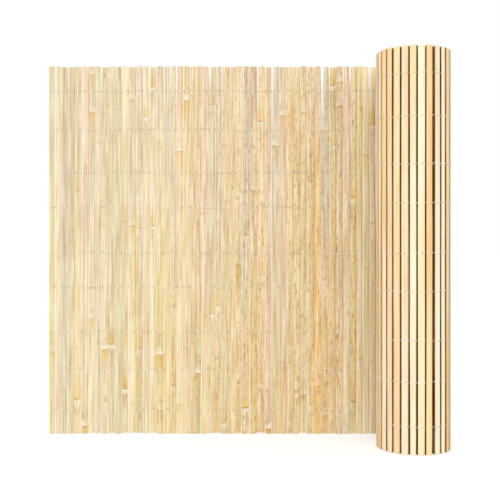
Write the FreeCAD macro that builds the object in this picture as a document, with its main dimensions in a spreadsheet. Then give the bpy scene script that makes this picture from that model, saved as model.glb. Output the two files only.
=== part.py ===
import FreeCAD, Part
import math
import os
import random
import Sketcher

# Split-bamboo fence panel, partly unrolled: upright slats bound by rows of wire, lying flat at the
# left and wound into a standing roll at the right. Millimetres, +Z up, X along the panel.
# The flat part shows its rind to the front (-Y), and the roll winds in front of it, pith side out.
# The origin lies on the ground, under the middle of the whole panel.

SIZES = {
    "slat_length": 1000,  # cut length of a slat, the height of the panel
    "slat_width": 16.5,  # middling width of a split slat
    "width_spread": 3,  # how much wider or narrower a slat of the flat part may be
    "wound_spread": 1.5,  # the same for the slats of the roll, which are more even
    "slat_thickness": 5,  # from the pith face to the crest of the rind
    "culm_radius": 38,  # radius of the cane that the slats were split from
    "slat_gap": 1.7,  # middling gap between slats of the flat part
    "wound_gap": 2.6,  # the same in the roll, where the winding pulls the slats apart
    "gap_spread": 0.6,  # how much wider or narrower a gap may be
    "end_stagger": 3,  # how far the slat ends of the flat part are out of line
    "wound_stagger": 1,  # the same for the slat ends of the roll
    "lean_angle": 0.3,  # degrees, the most that a slat leans in the flat part
    "ridge_height": 0.9,  # height of a culm node above the rind
    "ridge_length": 18,  # length of a culm node along the slat, at its root
    "flat_slats": 48,  # slats in the flat part
    "bend_start": 26,  # straight stretch past the flat part, before the mat bends
    "lead_radius": 141,  # loose bend that brings the mat round to the roll
    "roll_radius": 94,  # pith side of the first half turn of the roll
    "roll_turns": 3.2,  # turns of the roll after the loose bend
    "turn_clearance": 0.9,  # slack between two turns of the roll
    "wire_size": 1,  # thickness of a binding wire
    "wire_seat": 0.1,  # clearance between a wire and the slats it binds
    "wire_rows": 9,  # rows of binding wire
    "wire_margin": 67,  # from the slat ends to the outermost rows
    "row_wander": 8,  # how far the middle rows stray from an even spacing
}
SEED = 7
LEAN_WAVES = 5  # how often the lean comes and goes along the flat part
STAGGERED_SHARE = 0.6  # share of the slat ends that are out of line
NODE_BAND = (0.3, 0.7)  # where a culm node may lie, as shares of the space between two wire rows
IN_LINE = 1e-6  # radians, the turn between slats that still lie in one plane
OUTER_HALF_TURNS = 2  # the loose bend and the half turns up to this one are the outer turn
MIDDLE_HALF_TURNS = 4  # the half turns after those and up to this one are the middle turn
FLAT_SIZES = {"spread": "width_spread", "gap": "slat_gap", "stagger": "end_stagger"}
WOUND_SIZES = {"spread": "wound_spread", "gap": "wound_gap", "stagger": "wound_stagger"}

doc = FreeCAD.newDocument("bamboo_fence_panel")
sheet = doc.addObject("Spreadsheet::Sheet", "sizes")
for cell_row, (alias, value) in enumerate(SIZES.items(), start=1):
    sheet.set(f"A{cell_row}", alias.replace("_", " "))
    sheet.set(f"B{cell_row}", str(value))
    sheet.setAlias(f"B{cell_row}", alias)
doc.recompute()

slat_length = sheet.slat_length
slat_thickness = sheet.slat_thickness
culm_radius = sheet.culm_radius
wire_size = sheet.wire_size
wire_seat = sheet.wire_seat
flat_slats = int(sheet.flat_slats)
wire_rows = int(sheet.wire_rows)

# A turn of the roll lies inside the last one by a slat, the wires on its two sides and some slack.
turn_pitch = slat_thickness + 2 * (wire_size + wire_seat) + sheet.turn_clearance
# The mat bends about the strands on its rind side, so the gaps open on the pith side.
neutral_depth = slat_thickness + wire_seat + wire_size / 2


# Slats as they come from the splitter: no two alike, but the same thickness.
dice = random.Random(SEED)


def stagger_share():
    """Share of the stagger at one slat end: many slats stand level, the rest end a little short."""
    return max(0, dice.random() - (1 - STAGGERED_SHARE)) / STAGGERED_SHARE


def own_size(slat, kind):
    """The spread, gap or stagger of the part that the slat is in."""
    return getattr(sheet, slat["sizes"][kind])


def draw_slat(index):
    """One slat's own shares of the spreads of its part, and its lean if it is in the flat part."""
    slat = {
        "sizes": FLAT_SIZES if index < flat_slats else WOUND_SIZES,
        "width_share": round(dice.uniform(-1, 1), 3),
        "gap_share": round(dice.uniform(-1, 1), 3),
        "foot_share": round(stagger_share(), 3),
        "head_share": round(stagger_share(), 3),
        "node_interval": dice.randrange(wire_rows - 1),
        "node_share": round(dice.uniform(*NODE_BAND), 3),
        "lean": 0,
    }
    if index < flat_slats:
        along = math.pi * index / (flat_slats - 1)
        slat["lean"] = sheet.lean_angle * math.sin(along) * (1 + math.sin(LEAN_WAVES * along)) / 2
    if index in (0, flat_slats - 1):
        slat["lean"] = 0
        slat["foot_share"] = 0
    slat["width"] = sheet.slat_width + own_size(slat, "spread") * slat["width_share"]
    return slat


# The line that the pith faces follow, seen from above: straight, then the loose quarter bend, then
# half turns about two centres, each half turn tighter than the last.
def arc_radius(half_turn):
    """Radius of the quarter bend (half turn 0) or of a half turn of the roll (1, 2, 3 and on)."""
    if half_turn == 0:
        return sheet.lead_radius
    return sheet.roll_radius - (half_turn - 1) * turn_pitch / 2


def arc_sweep(half_turn):
    """Angle of the quarter bend or of a half turn, less at the inner end, and nothing past it."""
    if half_turn == 0:
        return math.pi / 2
    return math.pi * max(0, min(1, 2 * sheet.roll_turns + 1 - half_turn))


def path_point(travel):
    """Point and half turn after this travel along the neutral line from the bend, if still on it."""
    if travel <= 0:
        return FreeCAD.Vector(travel, 0, 0), 0
    point = FreeCAD.Vector(0, 0, 0)
    turned, half_turn = 0, 0
    while arc_sweep(half_turn) > 0:
        radius, sweep = arc_radius(half_turn), arc_sweep(half_turn)
        neutral_length = (radius - neutral_depth) * sweep
        step = min(travel / neutral_length, 1) * sweep
        centre = point - FreeCAD.Vector(math.sin(turned), math.cos(turned), 0) * radius
        turned += step
        point = centre + FreeCAD.Vector(math.sin(turned), math.cos(turned), 0) * radius
        if travel <= neutral_length:
            return point, half_turn
        travel -= neutral_length
        half_turn += 1
    return None


def line_up_slats():
    """Slats side by side to the end of the line: gaps leave room for the lean and a passing wire."""
    row = []
    bend = math.inf  # until the flat part is full
    while True:
        slat = draw_slat(len(row))
        slat["left"] = 0
        if row:
            gap = own_size(slat, "gap") + sheet.gap_spread * slat["gap_share"]
            gap += slat_length / 2 * math.radians(abs(slat["lean"] - row[-1]["lean"]))
            if len(row) == flat_slats:
                gap += wire_size
            slat["left"] = row[-1]["right"] + gap
        slat["right"] = slat["left"] + slat["width"]
        if path_point(slat["right"] - bend) is None:
            return row, bend
        row.append(slat)
        if len(row) == flat_slats:
            bend = slat["right"] + sheet.bend_start


def lay_slats():
    """Lay each slat on the straight from the middle of one gap to the middle of the next."""
    row, bend = line_up_slats()
    for before, slat, after in zip([row[0]] + row[:-1], row, row[1:] + [row[-1]]):
        start = (before["right"] + slat["left"]) / 2 if before is not slat else slat["left"]
        end = (slat["right"] + after["left"]) / 2 if after is not slat else slat["right"]
        middle = (slat["left"] + slat["right"]) / 2
        start_point, slat["half_turn"] = path_point(start - bend)
        chord = path_point(end - bend)[0] - start_point
        slat["point"] = start_point + chord * ((middle - start) / (end - start))
        slat["along"] = chord.normalize()
        slat["outward"] = FreeCAD.Vector(-chord.y, chord.x, 0)
    return row


slats = lay_slats()


def on_slat(slat, along, outward):
    """Point in plan beside a slat: along its pith face from the middle, and out from that face."""
    return slat["point"] + slat["along"] * along + slat["outward"] * outward


# Binding wire in plan. The back strand lies on the pith faces from end to end of the mat and bends in
# the gaps. The front strand lies on the rind crests of the flat part, turned round the first slat and
# back through the gap after the last flat one. The inner end is hooked round the last slat.
near_back = wire_seat
far_back = wire_seat + wire_size
near_front = -slat_thickness - near_back
far_front = -slat_thickness - far_back


def bend_corner(before, after, outward):
    """Where two neighbouring slats' pith lines cross, when both are moved outward by this much."""
    start = on_slat(before, 0, outward)
    across = on_slat(after, 0, outward) - start
    reach = across.dot(after["outward"]) / before["along"].dot(after["outward"])
    return start + before["along"] * reach


def bent_strand(outward):
    """Corners of the back strand, one in each gap where the mat turns."""
    corners = []
    for before, after in zip(slats[:-1], slats[1:]):
        if before["along"].getAngle(after["along"]) > IN_LINE:
            corners.append(bend_corner(before, after, outward))
    return corners


def wire_outline():
    """Outer and inner boundary of a wire row in plan, as two closed lists of points."""
    first, last_flat, last = slats[0], slats[flat_slats - 1], slats[-1]
    first_side = -first["width"] / 2
    flat_side = last_flat["width"] / 2
    last_side = last["width"] / 2
    outer = [on_slat(first, first_side - far_back, far_front)]
    outer.append(on_slat(first, first_side - far_back, far_back))
    outer += bent_strand(far_back)
    outer.append(on_slat(last, last_side + far_back, far_back))
    outer.append(on_slat(last, last_side + far_back, far_front))
    outer.append(on_slat(last, 0, far_front))
    outer.append(on_slat(last, 0, near_front))
    outer.append(on_slat(last, last_side + near_back, near_front))
    outer.append(on_slat(last, last_side + near_back, near_back))
    outer += reversed(bent_strand(near_back))
    outer.append(on_slat(last_flat, flat_side + far_back, near_back))
    outer.append(on_slat(last_flat, flat_side + far_back, far_front))
    inner = [on_slat(first, first_side - near_back, near_front)]
    inner.append(on_slat(first, first_side - near_back, near_back))
    inner.append(on_slat(last_flat, flat_side + near_back, near_back))
    inner.append(on_slat(last_flat, flat_side + near_back, near_front))
    return outer, inner


wire_rims = [Part.makePolygon(points + points[:1]) for points in wire_outline()]
plan_box = wire_rims[0].BoundBox
shift = FreeCAD.Vector(-plan_box.Center.x, -plan_box.Center.y, 0)


def origin_plane(body, role):
    """The body's own origin plane with this role."""
    return next(plane for plane in body.Origin.OriginFeatures if plane.Role == role)


def add_sketch(body, name, role, geometry, constraints):
    """A sketch on an origin plane of the body: lines or arcs, then named or plain constraints."""
    sketch = body.newObject("Sketcher::SketchObject", name)
    sketch.AttachmentSupport = [(origin_plane(body, role), "")]
    sketch.MapMode = "FlatFace"
    sketch.addGeometry(geometry, False)
    for size_name, rule, constraint in constraints:
        index = sketch.addConstraint(constraint)
        if size_name:
            sketch.renameConstraint(index, size_name)
            sketch.setExpression(f"Constraints.{size_name}", rule)
    return sketch


def line(start, end):
    """A sketch line between two points given as (across, up) pairs."""
    return Part.LineSegment(FreeCAD.Vector(*start, 0), FreeCAD.Vector(*end, 0))


def join(first, first_end, second, second_end):
    """An unnamed constraint that makes two ends of sketch lines one point."""
    return None, None, Sketcher.Constraint("Coincident", first, first_end, second, second_end)


def width_rule(slat):
    """A slat's width as a rule on the sheet."""
    return f"(sizes.slat_width + sizes.{slat['sizes']['spread']} * {slat['width_share']})"


def draw_section(body, slat):
    """Section of a slat about its culm axis: pith face, split sides and the arc of the rind."""
    half = slat["width"] / 2
    pith = slat_thickness - culm_radius
    edge = -math.sqrt(culm_radius**2 - half**2)
    rim = math.asin(half / culm_radius)
    cane = Part.Circle(FreeCAD.Vector(0, 0, 0), FreeCAD.Vector(0, 0, 1), culm_radius)
    geometry = [
        line((-half, pith), (half, pith)),
        line((half, pith), (half, edge)),
        Part.ArcOfCircle(cane, -math.pi / 2 - rim, -math.pi / 2 + rim),
        line((-half, edge), (-half, pith)),
    ]
    constraints = [
        join(0, 2, 1, 1),
        join(1, 2, 2, 2),
        join(2, 1, 3, 1),
        join(3, 2, 0, 1),
        join(2, 3, -1, 1),
        (None, None, Sketcher.Constraint("Vertical", 1)),
        (None, None, Sketcher.Constraint("Vertical", 3)),
        (None, None, Sketcher.Constraint("Symmetric", 0, 1, 0, 2, -2)),
        ("width", width_rule(slat), Sketcher.Constraint("DistanceX", 0, 1, 0, 2, 2 * half)),
        ("pith_depth", "sizes.culm_radius - sizes.slat_thickness",
         Sketcher.Constraint("DistanceY", 0, 1, -1, 1, -pith)),
        ("cane_radius", "sizes.culm_radius", Sketcher.Constraint("Radius", 2, culm_radius)),
    ]
    return add_sketch(body, body.Name + "_section", "XY_Plane", geometry, constraints)


def draw_node(body, slat):
    """Profile of a culm node beside the culm axis: a low ridge between two rows of wire."""
    row_share = (slat["node_interval"] + slat["node_share"]) / (wire_rows - 1)
    height_rule = (
        f"sizes.wire_margin + (sizes.slat_length - 2 * sizes.wire_margin) * {row_share:.4f}"
    )
    height = sheet.wire_margin + (slat_length - 2 * sheet.wire_margin) * row_share
    reach = sheet.ridge_length / 2
    root = sheet.ridge_height - culm_radius
    crest = -sheet.ridge_height - culm_radius
    geometry = [
        line((root, height - reach), (crest, height)),
        line((crest, height), (root, height + reach)),
        line((root, height + reach), (root, height - reach)),
    ]
    constraints = [
        join(0, 2, 1, 1),
        join(1, 2, 2, 1),
        join(2, 2, 0, 1),
        (None, None, Sketcher.Constraint("Vertical", 2)),
        ("root_radius", "sizes.culm_radius - sizes.ridge_height",
         Sketcher.Constraint("DistanceX", 0, 1, -1, 1, -root)),
        ("crest_radius", "sizes.culm_radius + sizes.ridge_height",
         Sketcher.Constraint("DistanceX", 0, 2, -1, 1, -crest)),
        ("height", height_rule, Sketcher.Constraint("DistanceY", -1, 1, 0, 2, height)),
        ("reach", "sizes.ridge_length / 2", Sketcher.Constraint("DistanceY", 0, 1, 0, 2, reach)),
        ("length", "sizes.ridge_length", Sketcher.Constraint("DistanceY", 0, 1, 1, 2, 2 * reach)),
    ]
    return add_sketch(body, body.Name + "_node_profile", "YZ_Plane", geometry, constraints)


def place_slat(body, slat):
    """Stand the slat on the line, turned with the mat, leaning a little, its lowest corner just clear."""
    lean = math.radians(slat["lean"])
    stagger = own_size(slat, "stagger")
    length = slat_length - stagger * (slat["foot_share"] + slat["head_share"])
    half = slat["width"] / 2
    sunk = length / 2 * (1 - math.cos(lean)) - half * math.sin(abs(lean))
    foot = stagger * slat["foot_share"] - sunk
    culm_axis = on_slat(slat, 0, culm_radius - slat_thickness) + shift
    heading = math.degrees(math.atan2(slat["along"].y, slat["along"].x))
    turn = FreeCAD.Rotation(FreeCAD.Vector(0, 0, 1), heading)
    tip = FreeCAD.Rotation(FreeCAD.Vector(0, 1, 0), slat["lean"])
    middle = FreeCAD.Vector(0, 0, length / 2)
    body.Placement = FreeCAD.Placement(culm_axis + FreeCAD.Vector(0, 0, foot), turn * tip, middle)


def add_slat(label, slat, with_node):
    """One split slat: its section carried along its length, with a culm node turned on the rind."""
    body = doc.addObject("PartDesign::Body", label)
    pad = body.newObject("PartDesign::Pad", label + "_length")
    pad.Profile = draw_section(body, slat)
    ends = round(slat["foot_share"] + slat["head_share"], 3)
    pad.setExpression("Length", f"sizes.slat_length - sizes.{slat['sizes']['stagger']} * {ends}")
    if with_node:
        profile = draw_node(body, slat)
        node = body.newObject("PartDesign::Revolution", label + "_node")
        node.Profile = profile
        node.ReferenceAxis = (profile, ["V_Axis"])
        node.Midplane = True
        node.setExpression("Angle", f"2 * asin({width_rule(slat)} / 2 / sizes.culm_radius)")
    place_slat(body, slat)
    return body


sub_parts = []

# Flat part: every slat is a piece of its own.
for index, slat in enumerate(slats[:flat_slats], start=1):
    sub_parts.append(add_slat(f"slat_{index:02d}", slat, True))

# Wound part: separate slats again, gathered by the turn of the roll that they lie in.
turns = {"roll_outer_turn": [], "roll_middle_turn": [], "roll_inner_turn": []}
for index, slat in enumerate(slats[flat_slats:], start=1):
    if slat["half_turn"] <= OUTER_HALF_TURNS:
        turn_name = "roll_outer_turn"
    elif slat["half_turn"] <= MIDDLE_HALF_TURNS:
        turn_name = "roll_middle_turn"
    else:
        turn_name = "roll_inner_turn"
    turns[turn_name].append(add_slat(f"wound_slat_{index:03d}", slat, False))
for turn_name, members in turns.items():
    if members:
        turn = doc.addObject("Part::Compound", turn_name)
        turn.Links = members
        sub_parts.append(turn)

# Rows of binding wire: one plan outline, carried up by the thickness of the wire at each height.
outline = doc.addObject("Part::Feature", "wire_plan")
outline.Shape = Part.Face(wire_rims, "Part::FaceMakerBullseye")
for row in range(wire_rows):
    even_share = round(row / (wire_rows - 1), 4)
    stray = round((-1) ** (row + 1) * math.sin(math.pi * row / (wire_rows - 1)), 4)
    wire = doc.addObject("Part::Extrusion", f"wire_row_{row + 1}")
    wire.Base = outline
    wire.DirMode = "Custom"
    wire.Dir = FreeCAD.Vector(0, 0, 1)
    wire.Solid = True
    wire.setExpression("LengthFwd", "sizes.wire_size")
    wire.Placement = FreeCAD.Placement(shift, FreeCAD.Rotation())
    wire.setExpression(
        "Placement.Base.z",
        f"sizes.wire_margin + (sizes.slat_length - 2 * sizes.wire_margin) * {even_share}"
        f" + sizes.row_wander * {stray} - sizes.wire_size / 2",
    )
    sub_parts.append(wire)

doc.recompute()

failed = [item.Label for item in doc.Objects if {"Invalid", "Error"} & set(item.State)]
failed += [part.Label for part in sub_parts if part.Shape.isNull() or not part.Shape.isValid()]
if failed:
    raise RuntimeError("not built: " + ", ".join(failed))

os.makedirs("parts", exist_ok=True)
for part in sub_parts:
    part.Shape.exportStep(f"parts/{part.Label}.step")
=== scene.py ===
import bpy
import numpy as np
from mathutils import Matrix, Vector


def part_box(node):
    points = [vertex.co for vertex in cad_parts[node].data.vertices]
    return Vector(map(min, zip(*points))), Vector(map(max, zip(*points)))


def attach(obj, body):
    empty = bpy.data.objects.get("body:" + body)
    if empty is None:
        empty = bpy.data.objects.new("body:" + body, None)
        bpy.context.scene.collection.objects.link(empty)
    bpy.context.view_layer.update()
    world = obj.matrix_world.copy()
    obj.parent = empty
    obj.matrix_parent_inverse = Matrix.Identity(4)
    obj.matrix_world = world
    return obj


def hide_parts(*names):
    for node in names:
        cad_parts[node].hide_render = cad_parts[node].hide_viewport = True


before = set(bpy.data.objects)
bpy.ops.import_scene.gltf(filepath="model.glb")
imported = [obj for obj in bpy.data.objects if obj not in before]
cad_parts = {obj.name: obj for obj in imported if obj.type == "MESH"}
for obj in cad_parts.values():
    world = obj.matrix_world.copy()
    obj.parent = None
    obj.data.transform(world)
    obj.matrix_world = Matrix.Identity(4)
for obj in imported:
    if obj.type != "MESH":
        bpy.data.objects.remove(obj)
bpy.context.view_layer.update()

# Slats of the unrolled part: strips split from bamboo culms, a metre long, with the arched waxy rind to the
# front, the flat pith to the back and the culm's nodes across them. They stand side by side on their sawn
# feet, and nothing but the rows of wire holds them together.
MM = 0.001  # metres
UP = np.array([0, 0, 1])
SAME_CORNER = 0.01 * MM  # corners closer than this are one
END_ZONE = 20 * MM  # a strip's foot and head are read from its last stretch


def cad_strips(node):
    """Where the strips of a CAD node stand, one entry a strip, in metres.

    Triangles that share a corner are one strip: the lowest corner number is passed on until it stays. The
    normal of a strip's largest triangle, which is on the flat pith face, is its outward direction, and the
    middles of its foot and head along the mat give its lean.
    """
    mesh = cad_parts[node].data
    mesh.calc_loop_triangles()
    points = np.empty(3 * len(mesh.vertices), np.float32)
    mesh.vertices.foreach_get("co", points)
    points = points.reshape(-1, 3).astype(float)
    triangles = np.empty(3 * len(mesh.loop_triangles), np.int32)
    mesh.loop_triangles.foreach_get("vertices", triangles)
    triangles = triangles.reshape(-1, 3)

    cells = np.round(points / SAME_CORNER).astype(np.int64)
    _, first, corner = np.unique(cells, axis=0, return_index=True, return_inverse=True)
    corners = corner.ravel()[triangles]
    strip = np.full_like(first, -1)
    passed = first.copy()
    while (passed != strip).any():
        strip = passed.copy()
        np.minimum.at(passed, corners, strip[corners].min(axis=1, keepdims=True))

    owner = strip[corners[:, 0]]
    a, b, c = points[triangles].transpose(1, 0, 2)
    normals = np.cross(b - a, c - a)
    areas = np.linalg.norm(normals, axis=1)
    strips = []
    for number in np.unique(owner):
        own = np.flatnonzero(owner == number)
        largest = own[areas[own].argmax()]
        outward = normals[largest] / areas[largest]
        along = np.array([outward[1], -outward[0], 0])
        own_points = points[triangles[own].ravel()]
        height, depth, run = own_points[:, 2], own_points @ outward, own_points @ along
        foot, head = height < height.min() + END_ZONE, height > height.max() - END_ZONE
        crest = depth[foot].min()
        ridge = depth < crest - SAME_CORNER
        strips.append({
            "outward": outward,
            "along": along,
            "pith": depth.max(),
            "thick": depth.max() - crest,
            "low": height.min(),
            "high": height.max(),
            "width": np.ptp(run[foot]),
            "foot": (run[foot].min() + run[foot].max()) / 2,
            "head": (run[head].min() + run[head].max()) / 2,
            "ridge": height[ridge].mean() if ridge.any() else np.nan,
        })
    return {key: np.array([one[key] for one in strips]) for key in strips[0]}


EDGE_SPREAD = 0.2 * MM  # the most that an edge lies out of its place at the foot and at the head
PINCH_REACH = (0.08, 0.26)  # share of the height over which an edge draws in towards a cut end
GRAIN_SEEDS = (0, 100)  # keep the grain of two strips apart
SAW_SLANT = 1.3 * MM  # how far a saw cut runs out of square
UPSIDE_DOWN = 0.35  # share of the strips that stand on their upper end
MAIN_NODE = (0.3, 0.7)  # share of the height at which the main node lies, where the solid shows none
OTHER_NODES = (0.1, 0.6)  # where the nodes beyond it lie, as shares of the way from the end to it
MAIN_NODE_HEIGHT = 0.9 * MM
OTHER_NODE_HEIGHT = (0.3 * MM, 0.7 * MM)
NODE_MARKS = (0.75, 2.3)  # of the beta draw for how strongly a node is coloured
MARK_FADE = 1.25  # power of that draw, which leaves few nodes strong
BUD_REACH = 0.6  # how far from the middle the scar of a bud may lie, as a share of half the width
BUD_SHARE = 0.26  # of the nodes have such a scar
BUD_STRENGTH = (0.4, 1)


def split_by_hand(strips, wave, rng):
    """Gives every strip the uneven form of split bamboo: waving edges, three nodes and slanting cuts.

    The waves have the given size. Edges are given for the left and the right side, and what they do towards
    an end for the foot and the head.
    """
    count = len(strips["low"])
    strips["length"] = strips["high"] - strips["low"]
    strips["swell"] = rng.uniform(-EDGE_SPREAD, EDGE_SPREAD, (count, 2, 2))
    strips["pinch"] = np.zeros((count, 2, 2))
    strips["pinch_reach"] = rng.uniform(*PINCH_REACH, (count, 2, 2))
    strips["wave"] = rng.uniform(0, 2 * np.pi, (count, 2, 2))
    strips["wave_size"] = np.full(count, wave)
    strips["seed"] = rng.uniform(*GRAIN_SEEDS, count)
    strips["slant"] = rng.uniform(-SAW_SLANT, SAW_SLANT, (count, 2))
    strips["upright"] = np.where(rng.random(count) < UPSIDE_DOWN, -1, 1)
    drawn = rng.uniform(*MAIN_NODE, count)
    main = np.where(np.isnan(strips["ridge"]), drawn, (strips["ridge"] - strips["low"]) / strips["length"])
    below = main * rng.uniform(*OTHER_NODES, count)
    above = 1 - (1 - main) * rng.uniform(*OTHER_NODES, count)
    strips["nodes"] = np.stack([below, main, above], axis=1)
    strips["node_height"] = rng.uniform(*OTHER_NODE_HEIGHT, (count, 3))
    strips["node_height"][:, 1] = MAIN_NODE_HEIGHT
    strips["node_mark"] = rng.beta(*NODE_MARKS, (count, 3)) ** MARK_FADE
    strips["bud_side"] = rng.uniform(-BUD_REACH, BUD_REACH, count)
    strips["bud_mark"] = rng.uniform(*BUD_STRENGTH, (count, 3)) * (rng.random((count, 3)) < BUD_SHARE)
    return strips


EDGE_WAVES = np.array([3.4, 9.5])  # radians from foot to head of the slow waves of a split edge


def side_lines(strips, share):
    """Middle and half width of each strip along the mat, at shares of its height.

    An edge runs straight beside the line from foot to head, with its own swell at either end and two slow
    sine waves, and draws in by the square of the nearness to a cut end.
    """
    share = share[:, None]
    line = strips["foot"][:, None, None] + (strips["head"] - strips["foot"])[:, None, None] * share
    foot_swell, head_swell = np.moveaxis(strips["swell"], 2, 0)[..., None]
    foot_pinch, head_pinch = np.moveaxis(strips["pinch"], 2, 0)[..., None]
    foot_reach, head_reach = np.moveaxis(strips["pinch_reach"], 2, 0)[..., None]
    drawn_in = foot_pinch * np.clip(1 - share / foot_reach, 0, 1) ** 2
    drawn_in = drawn_in + head_pinch * np.clip(1 - (1 - share) / head_reach, 0, 1) ** 2
    out = strips["width"][:, None, None] / 2 + foot_swell * (1 - share) + head_swell * share - drawn_in
    waves = np.sin(EDGE_WAVES * share[..., None] + strips["wave"][:, :, None, :]).sum(axis=3)
    edges = line + np.array([[-1], [1]]) * out + strips["wave_size"][:, None, None] * waves
    return edges.mean(axis=1), np.diff(edges, axis=1)[:, 0] / 2


def above_nodes(strips, share):
    """Height of each share of a strip above each of its nodes, as the culm grew (strip, share, node)."""
    height = (share[:, :, None] - strips["nodes"][:, None, :]) * strips["length"][:, None, None]
    return height * strips["upright"][:, None, None]


RIDGE_SPREAD = 5 * MM
SCAR_DROP = 3 * MM  # the sheath scar lies this far under a node's ridge
SCAR_SPREAD = 0.9 * MM
SCAR_SHARE = 0.7  # its depth as a share of the ridge


def node_swell(strips, share):
    """How proud the rind stands: a bell-shaped ridge at each node, with the sheath scar's groove under it."""
    gap = above_nodes(strips, share)
    ridge = np.exp(-((gap / RIDGE_SPREAD) ** 2))
    scar = np.exp(-(((gap + SCAR_DROP) / SCAR_SPREAD) ** 2))
    return (strips["node_height"][:, None, :] * (ridge - SCAR_SHARE * scar)).sum(axis=2)


CULM_RADIUS = 38 * MM  # of the rind's arc


def rind_depth(strips, share, across):
    """Depth of the rind from the pith face: the thickness less the drop of the culm's arc, plus the swell."""
    drop = CULM_RADIUS - np.sqrt(CULM_RADIUS**2 - across**2)
    return strips["thick"][:, None, None] - drop + node_swell(strips, share)[:, :, None]


SAW_BREAK = 0.6 * MM  # broken corner round a saw cut
NODE_STATIONS = np.array([-14, -8, -4.5, -3, -1.5, 0, 2.5, 6, 12]) * MM  # rings about a node
PLAIN_STATIONS = 6  # rings between two nodes


def stations(strips):
    """Shares of a strip's height with a ring: both cuts, a close set round each node, even runs between."""
    count = len(strips["low"])
    length = strips["length"][:, None]
    saw = SAW_BREAK / length
    sets = strips["nodes"][:, :, None] + NODE_STATIONS * strips["upright"][:, None, None] / length[:, :, None]
    starts = np.concatenate([saw, sets.max(axis=2)], axis=1)[:, :, None]
    stops = np.concatenate([sets.min(axis=2), 1 - saw], axis=1)[:, :, None]
    steps = np.arange(1, PLAIN_STATIONS + 1) / (PLAIN_STATIONS + 1)
    runs = starts + (stops - starts) * steps
    ends = np.concatenate([np.zeros_like(saw), saw, 1 - saw, np.ones_like(saw)], axis=1)
    rings = np.concatenate([ends, sets.reshape(count, -1), runs.reshape(count, -1)], axis=1)
    return np.sort(rings, axis=1)


# The cross-section of a strip, round from the left of its pith face: shares of half the width, and of the way
# from pith to rind.
PITH_ACROSS = np.linspace(-0.96, 0.96, 5)
RIND_ACROSS = np.linspace(0.87, -0.87, 7)
EDGE_RISE = np.array([0.07, 0.5, 0.8])
ACROSS = np.concatenate([PITH_ACROSS, np.ones_like(EDGE_RISE), RIND_ACROSS, -np.ones_like(EDGE_RISE)])
RISE = np.concatenate([np.zeros_like(PITH_ACROSS), EDGE_RISE, np.ones_like(RIND_ACROSS), EDGE_RISE[::-1]])
ON_PITH = RISE == 0
ON_RIND = RISE == 1
ON_EDGE = ~(ON_PITH | ON_RIND)
SIDE = (ACROSS > 0).astype(int)  # 0 left, 1 right
EDGE_FRAY = 0.06 * MM  # unevenness of the split edges
SAW_FADE = 30 * MM  # how far along a strip its slanting cut is felt


def strip_surface(strips, share, rng):
    """Points of the strips (strip, ring, around, axis): the cross-section carried up each strip.

    A point lies its share of the half width from the middle line and its share of the rind's depth from the
    pith face. Edge points move sideways by a little fray, and the last rings lean with the saw cut, inside
    the length.
    """
    middle, half = side_lines(strips, share)
    drawn_in = np.where((share == 0) | (share == 1), 1 - SAW_BREAK / half, 1)
    fray = rng.normal(0, EDGE_FRAY, (*share.shape, len(ACROSS))) * ON_EDGE
    across = half[:, :, None] * ACROSS * drawn_in[:, :, None] + fray
    depth = RISE * rind_depth(strips, share, across)
    rise = share * strips["length"][:, None]
    near_foot = np.clip(1 - rise / SAW_FADE, 0, 1)[:, :, None]
    near_head = np.clip(1 - (strips["length"][:, None] - rise) / SAW_FADE, 0, 1)[:, :, None]
    foot_slant, head_slant = strips["slant"][:, None, None, :].transpose(3, 0, 1, 2)
    height = strips["low"][:, None, None] + rise[:, :, None]
    height = height + near_foot * (np.abs(foot_slant) + foot_slant * ACROSS) / 2
    height = height - near_head * (np.abs(head_slant) + head_slant * ACROSS) / 2
    run = (middle[:, :, None] + across)[..., None] * strips["along"][:, None, None, :]
    back = (strips["pith"][:, None, None] - depth)[..., None] * strips["outward"][:, None, None, :]
    return run + back + height[..., None] * UP


def ring_faces(count, rings, around):
    """Corner numbers of the quads between neighbouring rings and of the two end faces of each strip."""
    number = np.arange(count * rings * around).reshape(count, rings, around)
    low, high = number[:, :-1], number[:, 1:]
    quads = np.stack([low, high, np.roll(high, -1, 2), np.roll(low, -1, 2)], axis=-1)
    return quads.reshape(-1, 4), np.concatenate([number[:, 0], number[:, -1, ::-1]])


def add_piece(name, points, quads, caps, material, attributes):
    """A closed mesh of quads and end faces, with its point attributes, riding on the mat."""
    mesh = bpy.data.meshes.new(name)
    corners = np.concatenate([quads.ravel(), caps.ravel()]).astype(np.int32)
    starts = np.concatenate([4 * np.arange(len(quads)), quads.size + caps.shape[1] * np.arange(len(caps))])
    mesh.vertices.add(points.size // 3)
    mesh.vertices.foreach_set("co", points.astype(np.float32).ravel())
    mesh.loops.add(len(corners))
    mesh.loops.foreach_set("vertex_index", corners)
    mesh.polygons.add(len(starts))
    mesh.polygons.foreach_set("loop_start", starts.astype(np.int32))
    mesh.polygons.foreach_set("use_smooth", np.arange(len(starts)) < len(quads))
    for key, (kind, field, values) in attributes.items():
        attribute = mesh.attributes.new(key, kind, "POINT")
        attribute.data.foreach_set(field, values.astype(np.float32).ravel())
    mesh.update(calc_edges=True)
    mesh.validate()
    mesh.materials.append(material)
    piece = bpy.data.objects.new(name, mesh)
    bpy.context.scene.collection.objects.link(piece)
    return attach(piece, "root")


def paint(*screen):
    """Linear colour of a colour written in screen values from 0 to 255, by the sRGB curve."""
    value = np.array(screen) / 255
    return np.where(value <= 0.04045, value / 12.92, ((value + 0.055) / 1.055) ** 2.4)


LEAST_PART = 1e-9  # of a tint in a mixture, so that no mixture is empty


def mixed_tints(tints, pull, spread, shape, rng):
    """Colours mixed from tints (shape, rgb): a tint's part is a gamma draw of this spread times its pull."""
    parts = rng.gamma(spread, 1, (*shape, len(tints))) * pull + LEAST_PART
    return (parts / parts.sum(axis=-1, keepdims=True)) @ tints


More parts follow.
